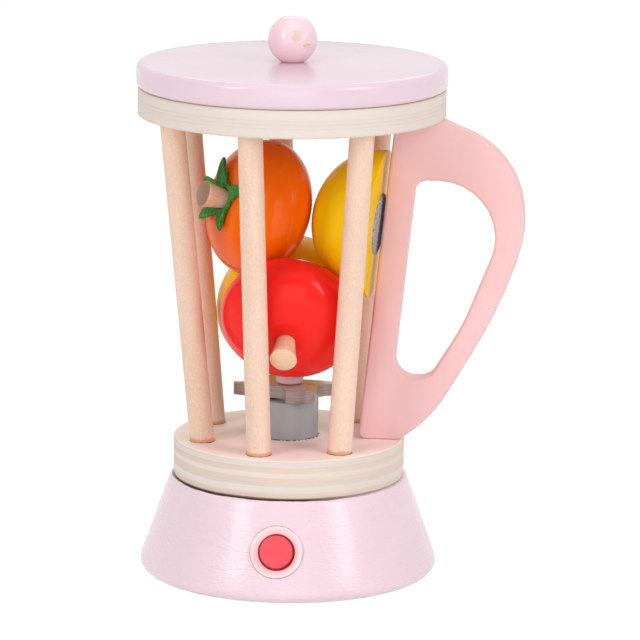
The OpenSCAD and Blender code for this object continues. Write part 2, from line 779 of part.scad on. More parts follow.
module orange_fruit() { color(orange_paint) place_orange() whole_fruit(orange_t / 2); }
module orange_stem() { color(beech) place_orange() stem(orange_t / 2); }
module orange_leaf() { color(felt_green) place_orange() leaf(orange_t / 2); }
module red_fruit() { color(red_paint) place_red() whole_fruit(red_t / 2); }
module red_stem() { color(beech) place_red() stem(red_t / 2); }
module yellow_half_front() { color(yellow_paint) place_front() half_fruit(); }
module yellow_half_back() { color(yellow_paint) place_back() half_fruit(); }
module hook_patch() { color(grey_paint) place_front() patch(); }
module loop_patch() { color(grey_paint) place_back() patch(); }

base_block();
button_bezel();
button();
button_spring();
jug_floor();
jug_peg();
dowel(1);  // dowel_1
dowel(2);  // dowel_2
dowel(3);  // dowel_3
dowel(4);  // dowel_4
dowel(5);  // dowel_5
dowel(6);  // dowel_6
top_ring();
handle();
handle_pins();
blade_post();
blade_washer();
blade();
blade_pin();
blade_cap();
lid_disc();
lid_plug();
lid_knob();
knob_screw();
orange_fruit();
orange_leaf();
orange_stem();
red_fruit();
red_stem();
yellow_half_front();
hook_patch();
yellow_half_back();
loop_patch();
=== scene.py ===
"""Wooden toy blender, dressed: turned and painted wood, layered plywood, felt and cloth.

Metres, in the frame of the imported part: +Z up, the button faces -Y, the handle +X.
"""

import json
import math

import bmesh
import bpy
from mathutils import Matrix, Quaternion, Vector, noise
from mathutils.bvhtree import BVHTree

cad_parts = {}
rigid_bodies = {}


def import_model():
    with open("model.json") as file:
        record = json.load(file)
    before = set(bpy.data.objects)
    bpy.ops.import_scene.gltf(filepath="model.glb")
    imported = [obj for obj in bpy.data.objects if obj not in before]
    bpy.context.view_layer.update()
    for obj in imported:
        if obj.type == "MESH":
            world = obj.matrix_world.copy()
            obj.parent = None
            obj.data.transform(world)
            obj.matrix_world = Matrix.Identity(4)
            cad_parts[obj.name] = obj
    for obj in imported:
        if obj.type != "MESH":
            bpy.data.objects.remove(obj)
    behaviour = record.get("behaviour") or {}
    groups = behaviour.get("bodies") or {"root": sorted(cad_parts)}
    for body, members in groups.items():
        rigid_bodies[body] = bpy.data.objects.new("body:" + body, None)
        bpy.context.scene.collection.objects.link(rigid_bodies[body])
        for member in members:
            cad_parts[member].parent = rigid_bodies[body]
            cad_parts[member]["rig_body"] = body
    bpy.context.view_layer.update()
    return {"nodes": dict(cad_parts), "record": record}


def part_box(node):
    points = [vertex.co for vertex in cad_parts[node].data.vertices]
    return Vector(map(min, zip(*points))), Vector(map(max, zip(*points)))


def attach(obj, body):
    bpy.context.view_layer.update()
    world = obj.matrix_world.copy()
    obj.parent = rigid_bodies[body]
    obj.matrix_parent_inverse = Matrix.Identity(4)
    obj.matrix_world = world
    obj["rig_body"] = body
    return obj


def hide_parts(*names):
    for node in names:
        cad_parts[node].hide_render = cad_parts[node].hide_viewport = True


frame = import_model()
nodes = frame["nodes"]
MM = 0.001


# --- Camera: where the photograph was taken from ---
CAMERA_AT = Vector((0.1411, -1.6804, 0.4619))
CAMERA_HEADING = -4.3835  # degrees from +Y towards +X
CAMERA_DIP = 11.987  # degrees below the horizon
CAMERA_ROLL = 0.628  # degrees: the camera's right side is raised
CAMERA_LENS = 237.3  # mm on a 36 mm sensor


def make_camera():
    heading, dip = math.radians(CAMERA_HEADING), math.radians(CAMERA_DIP)
    forward = Vector(
        (math.sin(heading) * math.cos(dip), math.cos(heading) * math.cos(dip), -math.sin(dip))
    )
    right = Vector((math.cos(heading), -math.sin(heading), 0))
    up = right.cross(forward)
    turn = Quaternion(forward, -math.radians(CAMERA_ROLL))
    right, up = turn @ right, turn @ up
    data = bpy.data.cameras.new("camera")
    data.lens, data.sensor_width = CAMERA_LENS, 36
    data.clip_start, data.clip_end = 0.05, 50
    camera = bpy.data.objects.new("camera", data)
    axes = Matrix((right, up, -forward)).transposed().to_4x4()
    camera.matrix_world = Matrix.Translation(CAMERA_AT) @ axes
    bpy.context.scene.collection.objects.link(camera)
    bpy.context.scene.camera = camera


# --- Shader helpers ---
def shade(color, factor):
    """The colour made darker or lighter."""
    return tuple(c * factor for c in color[:3]) + (1,)


def srgb(red, green, blue):
    """A colour as it looks on screen, 0 to 255, as the shader's linear values."""

    def linear(v):
        v /= 255
        return v / 12.92 if v <= 0.04045 else ((v + 0.055) / 1.055) ** 2.4

    return (linear(red), linear(green), linear(blue), 1)


class Shader:
    """A material with one Principled shader and a few ways to add detail to it."""

    def __init__(self, name, roughness=0.5, **inputs):
        self.material = bpy.data.materials.new(name)
        self.material.use_nodes = True
        self.tree = self.material.node_tree
        self.surface = self.tree.nodes["Principled BSDF"]
        self.set(self.surface, Roughness=roughness, **inputs)
        self.heights = []
        self.place = self.node("ShaderNodeTexCoord").outputs["Object"]

    def node(self, kind, **settings):
        made = self.tree.nodes.new(kind)
        for key, value in settings.items():
            setattr(made, key, value)
        return made

    def set(self, node, **inputs):
        for key, value in inputs.items():
            socket = node.inputs[key.replace("_", " ")]
            if isinstance(value, bpy.types.NodeSocket):
                self.tree.links.new(value, socket)
            else:
                socket.default_value = value
        return node

    def link(self, source, socket):
        self.tree.links.new(source, socket)

    def value(self, operation, a, b=None, c=None):
        node = self.node("ShaderNodeMath", operation=operation)
        for socket, v in zip(node.inputs, (a, b, c)):
            if isinstance(v, bpy.types.NodeSocket):
                self.link(v, socket)
            elif v is not None:
                socket.default_value = v
        return node.outputs[0]

    def vector(self, operation, a, b=None):
        node = self.node("ShaderNodeVectorMath", operation=operation)
        for socket, v in zip(node.inputs, (a, b)):
            if isinstance(v, bpy.types.NodeSocket):
                self.link(v, socket)
            elif v is not None:
                socket.default_value = v
        return node.outputs["Value" if operation in ("DOT_PRODUCT", "LENGTH") else "Vector"]

    def scaled(self, scale, place=None):
        """Coordinates in units of 1 / scale, per axis."""
        return self.vector("MULTIPLY", place or self.place, scale)

    def along(self, axis, fine, coarse, offset=(0, 0, 0)):
        """Coordinates stretched along a direction: fine units across it, coarse along it."""
        axis = Vector(axis).normalized()
        shifted = self.vector("ADD", self.place, offset)
        far = self.vector("DOT_PRODUCT", shifted, tuple(axis))
        stretch = self.node("ShaderNodeVectorMath", operation="SCALE")
        stretch.inputs[0].default_value = tuple(axis)
        self.link(self.value("MULTIPLY", far, coarse - fine), stretch.inputs["Scale"])
        return self.vector("ADD", self.scaled((fine,) * 3, shifted), stretch.outputs[0])

    def noise(self, place, detail, roughness=0.55):
        node = self.node("ShaderNodeTexNoise")
        self.link(place, node.inputs["Vector"])
        self.set(node, Scale=1.0, Detail=detail, Roughness=roughness)
        return node.outputs["Fac"]

    def cloud(self, fine, **settings):
        """Noise in the object's own coordinates; fine is one scale or one per axis."""
        return self.noise(self.scaled(fine if isinstance(fine, tuple) else (fine,) * 3), **settings)

    def part(self, vector, axis):
        """One of the three numbers of a vector."""
        split = self.node("ShaderNodeSeparateXYZ")
        self.link(vector, split.inputs[0])
        return split.outputs[axis]

    def normal(self):
        return self.node("ShaderNodeNewGeometry").outputs["Normal"]

    def off_axis(self, centre, axis):
        """Distance from the line through centre along axis."""
        away = self.vector("SUBTRACT", self.place, tuple(centre))
        depth = self.vector("DOT_PRODUCT", away, tuple(axis))
        whole = self.value("POWER", self.vector("LENGTH", away), 2.0)
        left = self.value("SUBTRACT", whole, self.value("POWER", depth, 2.0))
        return self.value("SQRT", self.value("MAXIMUM", 0.0, left))

    def ramp(self, factor, *stops):
        """Colours or greys at positions, mixed in between."""
        node = self.node("ShaderNodeValToRGB")
        self.link(factor, node.inputs[0])
        points = node.color_ramp.elements
        while len(points) < len(stops):
            points.new(0.5)
        for point, (at, tone) in zip(points, stops):
            point.position = at
            point.color = tone if isinstance(tone, tuple) else (tone, tone, tone, 1)
        return node.outputs[0]

    def mix(self, factor, a, b):
        node = self.node("ShaderNodeMix", data_type="RGBA")
        for name, v in (("Factor_Float", factor), ("A_Color", a), ("B_Color", b)):
            socket = next(s for s in node.inputs if s.identifier == name)
            if isinstance(v, bpy.types.NodeSocket):
                self.link(v, socket)
            else:
                socket.default_value = v
        return next(s for s in node.outputs if s.identifier == "Result_Color")

    def fade(self, factor, span, most, a, b):
        """Colour a turns into b, up to the share most, while factor crosses the span."""
        return self.mix(self.ramp(factor, (span[0], 0.0), (span[1], most)), a, b)

    def bump(self, height, depth):
        """Adds a relief: height 0 to 1 is depth millimetres deep."""
        node = self.node("ShaderNodeBump")
        self.link(height, node.inputs["Height"])
        self.set(node, Distance=depth * MM)
        if self.heights:
            self.link(self.heights[-1], node.inputs["Normal"])
        self.heights.append(node.outputs[0])

    def done(self, color, roughness=None):
        self.set(self.surface, Base_Color=color)
        if roughness is not None:
            self.link(roughness, self.surface.inputs["Roughness"])
        if self.heights:
            self.link(self.heights[-1], self.surface.inputs["Normal"])
        return self.material


# --- Materials ---
GAP_SHADE_IN = 1.6 * MM  # how far the painted shade line under the jug floor's edge reaches inwards and outwards
GAP_SHADE_OUT = 0.6 * MM
STAIN_RISE = 2.5 * MM  # scale of the stained zone at a dowel's foot
BEZEL_RIM = 10.7 * MM  # radius at which the bezel's glue line lies


def gloss_paint(name, color, deeper, roughness, ripple, ripple_depth, coat=0.25, chips=(),
                gap_shade=None):
    """Brushed gloss paint on wood: flowing ripples, small specks, thin spots on edges.

    chips are (centre, reach, stretch, colour): places where the paint has come off the wood.
    The last argument, (radius, height), asks for painted shade: a narrow dark line at that
    radius, above that height, for the shadow in the gap under the jug's floor. It is weaker
    towards +X.
    """
    m = Shader(name, roughness, Coat_Weight=coat, Coat_Roughness=0.12)
    cloudy = m.cloud(22, detail=2)
    tint = m.fade(cloudy, (0.35, 0.7), 1.0, color, deeper)
    specks = m.cloud(900, detail=1)
    tint = m.fade(specks, (0.74, 0.8), 0.5, tint, shade(color, 0.72))
    m.bump(m.cloud(ripple, detail=2, roughness=0.6), ripple_depth)
    m.bump(m.cloud(1800, detail=1), 0.012)
    rough = m.ramp(cloudy, (0.3, roughness * 0.85), (0.75, roughness * 1.25))
    for centre, reach, stretch, bare in chips:
        away = m.vector("SUBTRACT", m.place, tuple(centre))
        near = m.value("DIVIDE", m.vector("LENGTH", m.scaled(stretch, away)), reach)
        ragged = m.cloud((420, 420, 260), detail=4, roughness=0.65)
        worn = m.value("SUBTRACT", ragged, m.value("MULTIPLY", near, 0.33))
        worn = m.ramp(worn, (0.20, 0.0), (0.24, 1.0))
        tint = m.mix(worn, tint, bare)
        rough = m.value("ADD", rough, m.value("MULTIPLY", worn, 0.3))
        m.bump(m.value("SUBTRACT", 1.0, worn), 0.12)
    # Painted shade: a dark line on the base where the jug's floor rests on it, weaker towards +X.
    if gap_shade:
        radius, height = gap_shade
        far = m.vector("LENGTH", m.scaled((1, 1, 0)))
        patchy = m.value("MULTIPLY", m.cloud(120, detail=3), 1.2 * MM)
        inside = m.value("LESS_THAN", m.value("ADD", far, patchy), radius + GAP_SHADE_OUT)
        above = m.value("GREATER_THAN", m.part(m.place, "Z"), height)
        fading = m.value("MULTIPLY_ADD", m.part(m.place, "X"), 10.0, 0.5)
        painted_shade = m.value("MULTIPLY", m.ramp(fading, (0.6, 1.0), (0.95, 0.2)), inside)
        painted_shade = m.value("MULTIPLY", painted_shade, m.value("GREATER_THAN", far, radius - GAP_SHADE_IN))
        tint = m.mix(m.value("MULTIPLY", painted_shade, above), tint, srgb(72, 38, 30))
    return m.done(tint, rough)


def fruit_paint(name, color, deeper, coat=0.3):
    """Sprayed lacquer with an orange-peel surface, a little darker where it ran."""
    m = Shader(name, 0.26, Coat_Weight=coat, Coat_Roughness=0.13, Specular_IOR_Level=0.05)
    cloudy = m.cloud(30, detail=2)
    tint = m.fade(cloudy, (0.3, 0.75), 1.0, color, deeper)
    specks = m.cloud(700, detail=1)
    tint = m.fade(specks, (0.76, 0.8), 0.6, tint, shade(deeper, 0.6))
    m.bump(m.cloud(240, detail=2, roughness=0.5), 0.09)
    m.bump(m.cloud(1300, detail=1), 0.015)
    return m.done(tint, m.ramp(cloudy, (0.3, 0.234), (0.8, 0.364)))


def pale_wood(name, axis, color, dark, offset=(0, 0, 0), foot=None):
    """Sanded close-grained wood with short flecks along the axis.

    Just above the height foot, where it is glued in, the wood is stained.
    """
    m = Shader(name)
    soft = m.noise(m.along(axis, 110, 14, offset), detail=3)
    tint = m.fade(soft, (0.3, 0.72), 1.0, color, dark)
    flecks = m.noise(m.along(axis, 2400, 700, offset), detail=2, roughness=0.7)
    tint = m.fade(flecks, (0.58, 0.70), 0.4, tint, shade(dark, 0.75))
    light = m.noise(m.along(axis, 2600, 900, offset), detail=2, roughness=0.7)
    tint = m.fade(light, (0.52, 0.62), 0.55, tint, shade(color, 1.12))
    if foot is not None:
        wander = m.value("MULTIPLY", m.cloud(300, detail=2), 2.2 * MM)
        rise = m.value("SUBTRACT", m.value("SUBTRACT", m.part(m.place, "Z"), foot), wander)
        rise = m.value("DIVIDE", rise, STAIN_RISE)
        tint = m.mix(m.ramp(rise, (0.0, 0.75), (0.35, 0.0)), tint, srgb(216, 146, 96))
    m.bump(flecks, 0.05)
    m.bump(m.noise(m.along(axis, 500, 60, offset), detail=2), 0.04)
    return m.done(tint, m.ramp(soft, (0.3, 0.425), (0.8, 0.575)))


def plywood(name, low, thick, layers, face, streaks, blend=None):
    """Layered wood: the edge shows each ply, the faces show the outer one.

    layers is a list of (height from 0 to 1, colour), from the bottom up. The edge's contrast
    fades here and there towards the colour blend.
    """
    m = Shader(name, 0.55)
    wobble = m.cloud((38, 38, 10), detail=2)
    wobble = m.value("MULTIPLY", m.value("SUBTRACT", wobble, 0.5), 0.6 * MM)
    height = m.value("ADD", m.part(m.place, "Z"), wobble)
    height = m.value("DIVIDE", m.value("SUBTRACT", height, low), thick)
    edge = m.ramp(height, *layers)
    if blend:
        broad = m.cloud((16, 16, 4), detail=2)
        edge = m.fade(broad, (0.45, 0.7), 0.6, edge, blend)
    streak = m.cloud((70, 70, 3000), detail=3, roughness=0.6)
    edge = m.fade(streak, (0.45, 0.65), streaks, edge, shade(face, 0.84))
    pores = m.cloud((800, 800, 2600), detail=2, roughness=0.7)
    edge = m.fade(pores, (0.63, 0.73), streaks * 1.5, edge, shade(face, 0.62))
    stains = m.cloud((45, 45, 70), detail=3)
    edge = m.fade(stains, (0.68, 0.8), streaks, edge, srgb(196, 156, 128))
    grain = m.cloud((26, 900, 26), detail=3, roughness=0.6)
    flat = m.fade(grain, (0.35, 0.7), 0.35, face, shade(face, 0.9))
    level = m.value("ABSOLUTE", m.part(m.normal(), "Z"))
    m.bump(streak, 0.08)
    m.bump(pores, 0.05)
    return m.done(m.fade(level, (0.55, 0.8), 1.0, edge, flat))


def satin_paint(name, color, glow, pits=None):
    """Thin satin paint, sanded between coats, with a few tiny pits if asked: one per 1 / pits."""
    m = Shader(name, 0.42, Coat_Weight=0.1, Coat_Roughness=0.3)
    cloudy = m.cloud(16, detail=2)
    tint = m.fade(cloudy, (0.3, 0.7), 1.0, color, glow)
    m.bump(m.cloud(330, detail=3), 0.05)
    m.bump(m.cloud(1500, detail=1), 0.02)
    if pits:
        cells = m.node("ShaderNodeTexVoronoi", feature="F1")
        m.link(m.place, cells.inputs["Vector"])
        m.set(cells, Scale=pits, Randomness=1.0)
        dot = m.ramp(cells.outputs["Distance"], (0.028, 1.0), (0.042, 0.0))
        tint = m.mix(m.value("MULTIPLY", dot, 0.8), tint, srgb(158, 112, 104))
        m.bump(m.value("SUBTRACT", 1.0, dot), 0.2)
    return m.done(tint, m.ramp(cloudy, (0.3, 0.36), (0.75, 0.5)))


def bezel_paint(centre, outward):
    """Pale satin ring with a brownish glue line round its rim."""
    m = Shader("bezel_paint", 0.38, Coat_Weight=0.15, Coat_Roughness=0.2)
    color, rim = srgb(252, 226, 229), srgb(190, 146, 134)
    patchy = m.cloud(160, detail=3)
    far = m.value("DIVIDE", m.off_axis(centre, outward), BEZEL_RIM)
    worn = m.ramp(far, (0.955, 0.0), (0.985, 1.0))
    worn = m.value("MULTIPLY", worn, m.ramp(patchy, (0.32, 0.15), (0.6, 1.0)))
    tint = m.mix(worn, color, rim)
    m.bump(m.cloud(500, detail=3), 0.04)
    return m.done(tint)


def button_paint():
    m = Shader("button_paint", 0.34, Coat_Weight=0.2, Coat_Roughness=0.2)
    cloudy = m.cloud(160, detail=3)
    tint = m.fade(cloudy, (0.35, 0.7), 1.0, srgb(252, 74, 86), srgb(240, 62, 76))
    nicks = m.cloud((600, 300, 600), detail=3, roughness=0.7)
    tint = m.fade(nicks, (0.66, 0.7), 0.7, tint, srgb(255, 150, 150))
    m.bump(m.cloud(520, detail=3), 0.08)
    return m.done(tint, m.ramp(cloudy, (0.3, 0.28), (0.75, 0.42)))


def grey_blade_paint():
    """Grey paint; the plies show through it as thin dark lines on the edge.

    Faces turned up are painted lighter: painted light on the blade's top.
    """
    m = Shader("blade_paint", 0.22, Coat_Weight=0.4, Coat_Roughness=0.1)
    lines = m.cloud((70, 70, 1500), detail=3, roughness=0.6)
    tint = m.fade(lines, (0.45, 0.68), 0.45, srgb(160, 150, 144), srgb(104, 92, 86))
    # Painted light: faces turned up get a lighter grey.
    tint = m.fade(m.part(m.normal(), "Z"), (0.5, 0.8), 1.0, tint, srgb(198, 188, 182))
    blots = m.cloud(240, detail=3)
    tint = m.fade(blots, (0.62, 0.7), 0.6, tint, srgb(140, 128, 120))
    m.bump(lines, 0.12)
    return m.done(tint)


def post_paint():
    m = Shader("post_paint", 0.4, Coat_Weight=0.15, Coat_Roughness=0.25)
    drift = m.cloud((90, 90, 40), detail=3)
    tint = m.fade(drift, (0.3, 0.7), 1.0, srgb(170, 172, 174), srgb(155, 157, 159))
    m.bump(m.cloud((420, 420, 120), detail=3), 0.06)
    return m.done(tint, m.ramp(drift, (0.3, 0.34), (0.75, 0.48)))


def felt():
    m = Shader("green_felt", 0.95, Sheen_Weight=0.35, Sheen_Roughness=0.5)
    m.set(m.surface, Sheen_Tint=srgb(150, 220, 140))
    matted = m.cloud(900, detail=4, roughness=0.7)
    drift = m.cloud(160, detail=2)
    tint = m.fade(matted, (0.35, 0.65), 1.0, srgb(30, 104, 30), srgb(84, 174, 66))
    tint = m.fade(drift, (0.4, 0.7), 0.4, tint, srgb(22, 66, 14))
    m.bump(matted, 0.5)
    m.bump(m.cloud(2600, detail=2), 0.15)
    return m.done(tint)


def patch_cloth():
    m = Shader("patch_cloth", 0.9, Sheen_Weight=0.6, Sheen_Roughness=0.4)
    m.set(m.surface, Sheen_Tint=srgb(225, 220, 228))
    fuzz = m.cloud(1300, detail=4, roughness=0.75)
    tint = m.fade(fuzz, (0.35, 0.66), 1.0, srgb(112, 102, 112), srgb(214, 206, 212))
    m.bump(fuzz, 0.6)
    return m.done(tint)


def stem_wood(name, axis, centre, end):
    """Bare wood: side grain along the stem and rings on the sawn end.

    The end face takes the colour end; where that is darker than the wood, it is painted shade.
    """
    m = Shader(name, 0.48)
    wander = m.cloud(260, detail=2)
    rings = m.value("MULTIPLY", m.off_axis(centre, axis), 5200.0)
    rings = m.value("SINE", m.value("ADD", rings, m.value("MULTIPLY", wander, 5.0)))
    side = m.noise(m.along(axis, 1300, 120), detail=3)
    tint = m.fade(side, (0.35, 0.7), 1.0, srgb(242, 206, 176), srgb(226, 184, 150))
    facing = m.vector("DOT_PRODUCT", m.normal(), tuple(axis))
    # The end face takes the colour end: painted shade where it is darker than the wood.
    tint = m.fade(facing, (0.75, 0.92), 1.0, tint, end)
    tint = m.fade(rings, (0.2, 1.0), 0.12, tint, srgb(184, 134, 96))
    m.bump(side, 0.06)
    return m.done(tint)


def plain_metal():
    m = Shader("plain_steel", 0.3, Metallic=1.0)
    drift = m.cloud(300, detail=2)
    m.bump(m.cloud((900, 900, 2500), detail=2), 0.02)
    return m.done(m.mix(drift, srgb(196, 196, 200), srgb(168, 168, 172)))


def glue(name, color, roughness):
    m = Shader(name, roughness, Coat_Weight=0.3, Coat_Roughness=0.1)
    drift = m.cloud(500, detail=3)
    m.bump(drift, 0.2)
    return m.done(m.mix(drift, color, shade(color, 0.85)))


# --- Pieces ---
SAME_PLACE = 0.01 * MM  # points closer than this are one point
KNOB_DOME = 0.5 * MM
DOWELS = range(1, 7)
DOWEL_R = 5.05 * MM
DOWEL_SLOPE = 0.1014  # outward lean of the dowels: run over rise


def add_piece(name, mesh, body, slot, material, *stands_for):
    piece = bpy.data.objects.new(name, mesh)
    bpy.context.scene.collection.objects.link(piece)
    mesh.materials.clear()
    mesh.materials.append(material)
    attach(piece, body)
    if stands_for:
        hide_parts(*stands_for)
    return piece


def joined(node):
    """The node's surface as a bmesh whose faces share their corners."""
    bm = bmesh.new()
    bm.from_mesh(nodes[node].data)
    bmesh.ops.remove_doubles(bm, verts=bm.verts, dist=SAME_PLACE)
    bmesh.ops.dissolve_degenerate(bm, dist=SAME_PLACE / 10, edges=bm.edges)
    return bm


def finished(bm, name, angle):
    """A clean mesh without the frame's own normals, smooth where it turns by less than angle."""
    bm.verts.index_update()
    corners = [[v.index for v in f.verts] for f in bm.faces]
    mesh = bpy.data.meshes.new(name)
    mesh.from_pydata([v.co[:] for v in bm.verts], [], corners)
    bm.free()
    mesh.polygons.foreach_set("use_smooth", [True] * len(mesh.polygons))
    mesh.set_sharp_from_angle(angle=math.radians(angle))
    return mesh


def dress(node, material, angle=32, shaping=None):
    """The node's own surface with soft normals, and a little shaping if asked."""
    bm = joined(node)
    if shaping:
        shaping(bm)
    mesh = finished(bm, node + "_skin", angle)
    slot = next(s["material_slot"] for s in frame["record"]["subparts"] if s["node"] == node)
    add_piece(node + "_skin", mesh, nodes[node]["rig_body"], slot, material, node)


def middle(node):
    """The centre of the node's surface, which lies on the axis of a turned piece."""
    total, area = Vector(), 0.0
    for face in nodes[node].data.polygons:
        total += face.center * face.area
        area += face.area
    return total / area


def square_to(axis):
    """Two directions square to the axis and to each other; the second is nearest to +Z."""
    up = (Vector((0, 0, 1)) - axis * axis.z).normalized()
    return up.cross(axis), up


def swollen(amount, fineness, seed):
    """A shaping that moves the surface in and out a little, as hand-turned wood is."""

    def shaping(bm):
        bm.normal_update()
        moves = [
            (v, v.normal * amount * noise.noise(v.co * fineness + Vector((seed, 0, 0))))
            for v in bm.verts
        ]
        for v, move in moves:
            v.co += move

    return shaping


def domed(bm):
    """A shaping that turns a flat top into a low dome."""
    high = max(v.co.z for v in bm.verts)
    flat = [f for f in bm.faces if all(v.co.z > high - SAME_PLACE for v in f.verts)]
    cap = bmesh.ops.dissolve_faces(bm, faces=flat)["region"]
    for v in bmesh.ops.poke(bm, faces=cap)["verts"]:
        v.co.z += KNOB_DOME


def dowel_line(name):
    """The middle of a dowel and its direction, one metre of rise long."""
    low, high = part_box(name)
    centre = (low + high) / 2
    return centre, Vector((centre.x, centre.y, 0)).normalized() * DOWEL_SLOPE + Vector((0, 0, 1))


# --- Felt leaf ---
# Lobes as (degrees round the stem, reach, lift of the tip off the fruit), in millimetres
LOBES = [(112, 18.4, 2.6), (26, 17.0, 0.8), (-64, 14.6, 1.6), (222, 16.8, 2.6), (160, 18.6, 3.2)]
LEAF_EYE = 4.5 * MM  # radius of the hole round the stem
LEAF_THICK = 1.5 * MM
LEAF_GAP = 0.35 * MM
LEAF_WAIST = 6.6 * MM  # reach of the leaf between two lobes
LEAF_RAGGED = 0.7 * MM
LEAF_CRINKLE = 0.25 * MM
LOBE_HALF = 34  # degrees from a lobe's middle to its side
ABOVE_FRUIT = 50 * MM  # where the search for the fruit's surface starts


def lobe_reach(angle):
    """Reach and lift of the leaf's edge in one direction, in metres."""
    best = (LEAF_WAIST, 0.0)
    for at, reach, lift in LOBES:
        off = abs((angle - at + 180) % 360 - 180)
        if off < LOBE_HALF:
            along = 1 - off / LOBE_HALF
            sharp = along ** 1.7
            wide = LEAF_WAIST + (reach * MM - LEAF_WAIST) * sharp
            if wide > best[0]:
                best = (wide, lift * MM * sharp)
    return best


def make_leaf(material):
    fruit = joined("orange_fruit")
    tree = BVHTree.FromBMesh(fruit)
    fruit.free()
    root = middle("orange_fruit")
    axis = (middle("orange_stem") - root).normalized()
    side, up = square_to(axis)
    around, rings = 150, 12
    bm = bmesh.new()
    grid = {}
    for layer in (0, 1):
        for i in range(around):
            angle = 360 * i / around
            reach, lift = lobe_reach(angle)
            cos, sin = math.cos(math.radians(angle)), math.sin(math.radians(angle))
            way = side * cos + up * sin
            ragged = noise.noise(Vector((cos * 9, sin * 9, 3.7)))
            ragged += 0.6 * noise.noise(Vector((i * 0.9, 5.1, layer * 0.3)))
            for j in range(rings + 1):
                share = j / rings
                far = LEAF_EYE + (reach - LEAF_EYE) * share + ragged * LEAF_RAGGED * share
                start = root + way * far + axis * ABOVE_FRUIT
                hit = tree.ray_cast(start, -axis)[0]
                rise = LEAF_GAP + lift * share ** 2 + layer * LEAF_THICK
                rise += LEAF_CRINKLE * noise.noise((start + way * 0.01) * 260)
                grid[layer, i, j] = bm.verts.new(hit + axis * rise)
    for i in range(around):
        k = (i + 1) % around
        for j in range(rings):
            bm.faces.new([grid[0, i, j], grid[0, k, j], grid[0, k, j + 1], grid[0, i, j + 1]])
            bm.faces.new([grid[1, i, j], grid[1, i, j + 1], grid[1, k, j + 1], grid[1, k, j]])
        bm.faces.new([grid[0, i, 0], grid[1, i, 0], grid[1, k, 0], grid[0, k, 0]])
        bm.faces.new([grid[0, i, rings], grid[0, k, rings], grid[1, k, rings], grid[1, i, rings]])
    mesh = finished(bm, "leaf", 50)
    leaf = add_piece("leaf", mesh, "orange_fruit", "green_felt", material, "orange_leaf")
    soft = leaf.modifiers.new("soft", "SUBSURF")
    soft.levels = soft.render_levels = 1


# --- Hook and loop discs ---
NAP = 0.3 * MM  # height of the tufts
NAP_SINK = 0.22 * MM
NAP_EDGE = 0.4 * MM  # how far the disc's edge falls


def make_patch(node, half, material):
    """The disc with a nap of fine tufts on its outer face."""
    centre = middle(node)
    axis = (centre - middle(half)).normalized()
    corners = [v.co - centre for v in nodes[node].data.vertices]
    face = max(v.dot(axis) for v in corners)
    low = min(v.dot(axis) for v in corners)
    radius = max((v - axis * v.dot(axis)).length for v in corners)
    side, up = square_to(axis)
    around, rings = 96, 40
    bm = bmesh.new()
    tip = bm.verts.new(centre + axis * face)
    last = None
    for j in range(1, rings + 1):
        far = radius * j / rings
        ring = []
        for i in range(around):
            a = 2 * math.pi * i / around
            spot = centre + (side * math.cos(a) + up * math.sin(a)) * far
            nap = NAP * noise.noise(spot * 1400) - NAP_SINK
            edge = -NAP_EDGE * max(0, (j / rings - 0.94) / 0.06)
            ring.append(bm.verts.new(spot + axis * (face + nap + edge)))
        for i in range(around):
            k = (i + 1) % around
            if last is None:
                bm.faces.new([tip, ring[i], ring[k]])
            else:
                bm.faces.new([last[i], ring[i], ring[k], last[k]])
        last = ring
    foot = [bm.verts.new(v.co - axis * ((v.co - centre).dot(axis) - low)) for v in last]
    for i in range(around):
        k = (i + 1) % around
        bm.faces.new([last[i], foot[i], foot[k], last[k]])
    bm.faces.new(foot[::-1])
    mesh = finished(bm, node + "_nap", 60)
    add_piece(node + "_nap", mesh, nodes[node]["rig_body"], "patch_cloth", material, node)


# --- Glue: beads and drops, all of them on the jug's floor ---
GLUE_OFF = 0.1 * MM  # from the floor, or the post, to the middle of the glue
FOOT_NEAR = 0.1 * MM  # corners of the handle this near to the floor are its foot
BEAD_SIDES = 6
BEAD_STEP = 0.7 * MM


def make_bead(name, path, radius, slot, material, seed, bare=0.0):
    """An uneven bead of glue along a closed path of points; it thins out where noise is low."""
    bm = bmesh.new()
    rings = []
    for n, (spot, outward) in enumerate(path):
        grow = noise.noise(Vector((seed, n * 0.35, 0)))
        grow += 0.5 * noise.noise(Vector((seed, n * 1.3, 4)))
        size = radius * max(0.12, 0.55 + grow - bare)
        ring = []
        for k in range(BEAD_SIDES):
            a = 2 * math.pi * k / BEAD_SIDES
            rise = Vector((0, 0, 0.8 * size * math.sin(a)))
            ring.append(bm.verts.new(spot + outward * size * math.cos(a) + rise))
        rings.append(ring)
    for here, after in zip(rings, rings[1:] + rings[:1]):
        for k in range(BEAD_SIDES):
            j = (k + 1) % BEAD_SIDES
            bm.faces.new([here[k], after[k], after[j], here[j]])
    bmesh.ops.recalc_face_normals(bm, faces=bm.faces)
    add_piece(name, finished(bm, name, 80), "jug", slot, material)


def circle_path(radius, centre, count):
    """Points round a circle with the outward direction of each."""
    angles = [2 * math.pi * i / count for i in range(count)]
    ways = [Vector((math.cos(a), math.sin(a), 0)) for a in angles]
    return [(centre + way * radius, way) for way in ways]


def rectangle_path(low, high, z):
    """Points round a rectangle with the outward direction of each."""
    path = []
    corners = [Vector((low[0], low[1], z)), Vector((high[0], low[1], z)),
               Vector((high[0], high[1], z)), Vector((low[0], high[1], z))]
    outs = [(0, -1, 0), (1, 0, 0), (0, 1, 0), (-1, 0, 0)]
    for out, start, end in zip(outs, corners, corners[1:] + corners[:1]):
        count = max(2, int((end - start).length / BEAD_STEP))
        path += [(start.lerp(end, i / count), Vector(out)) for i in range(count)]
    return path


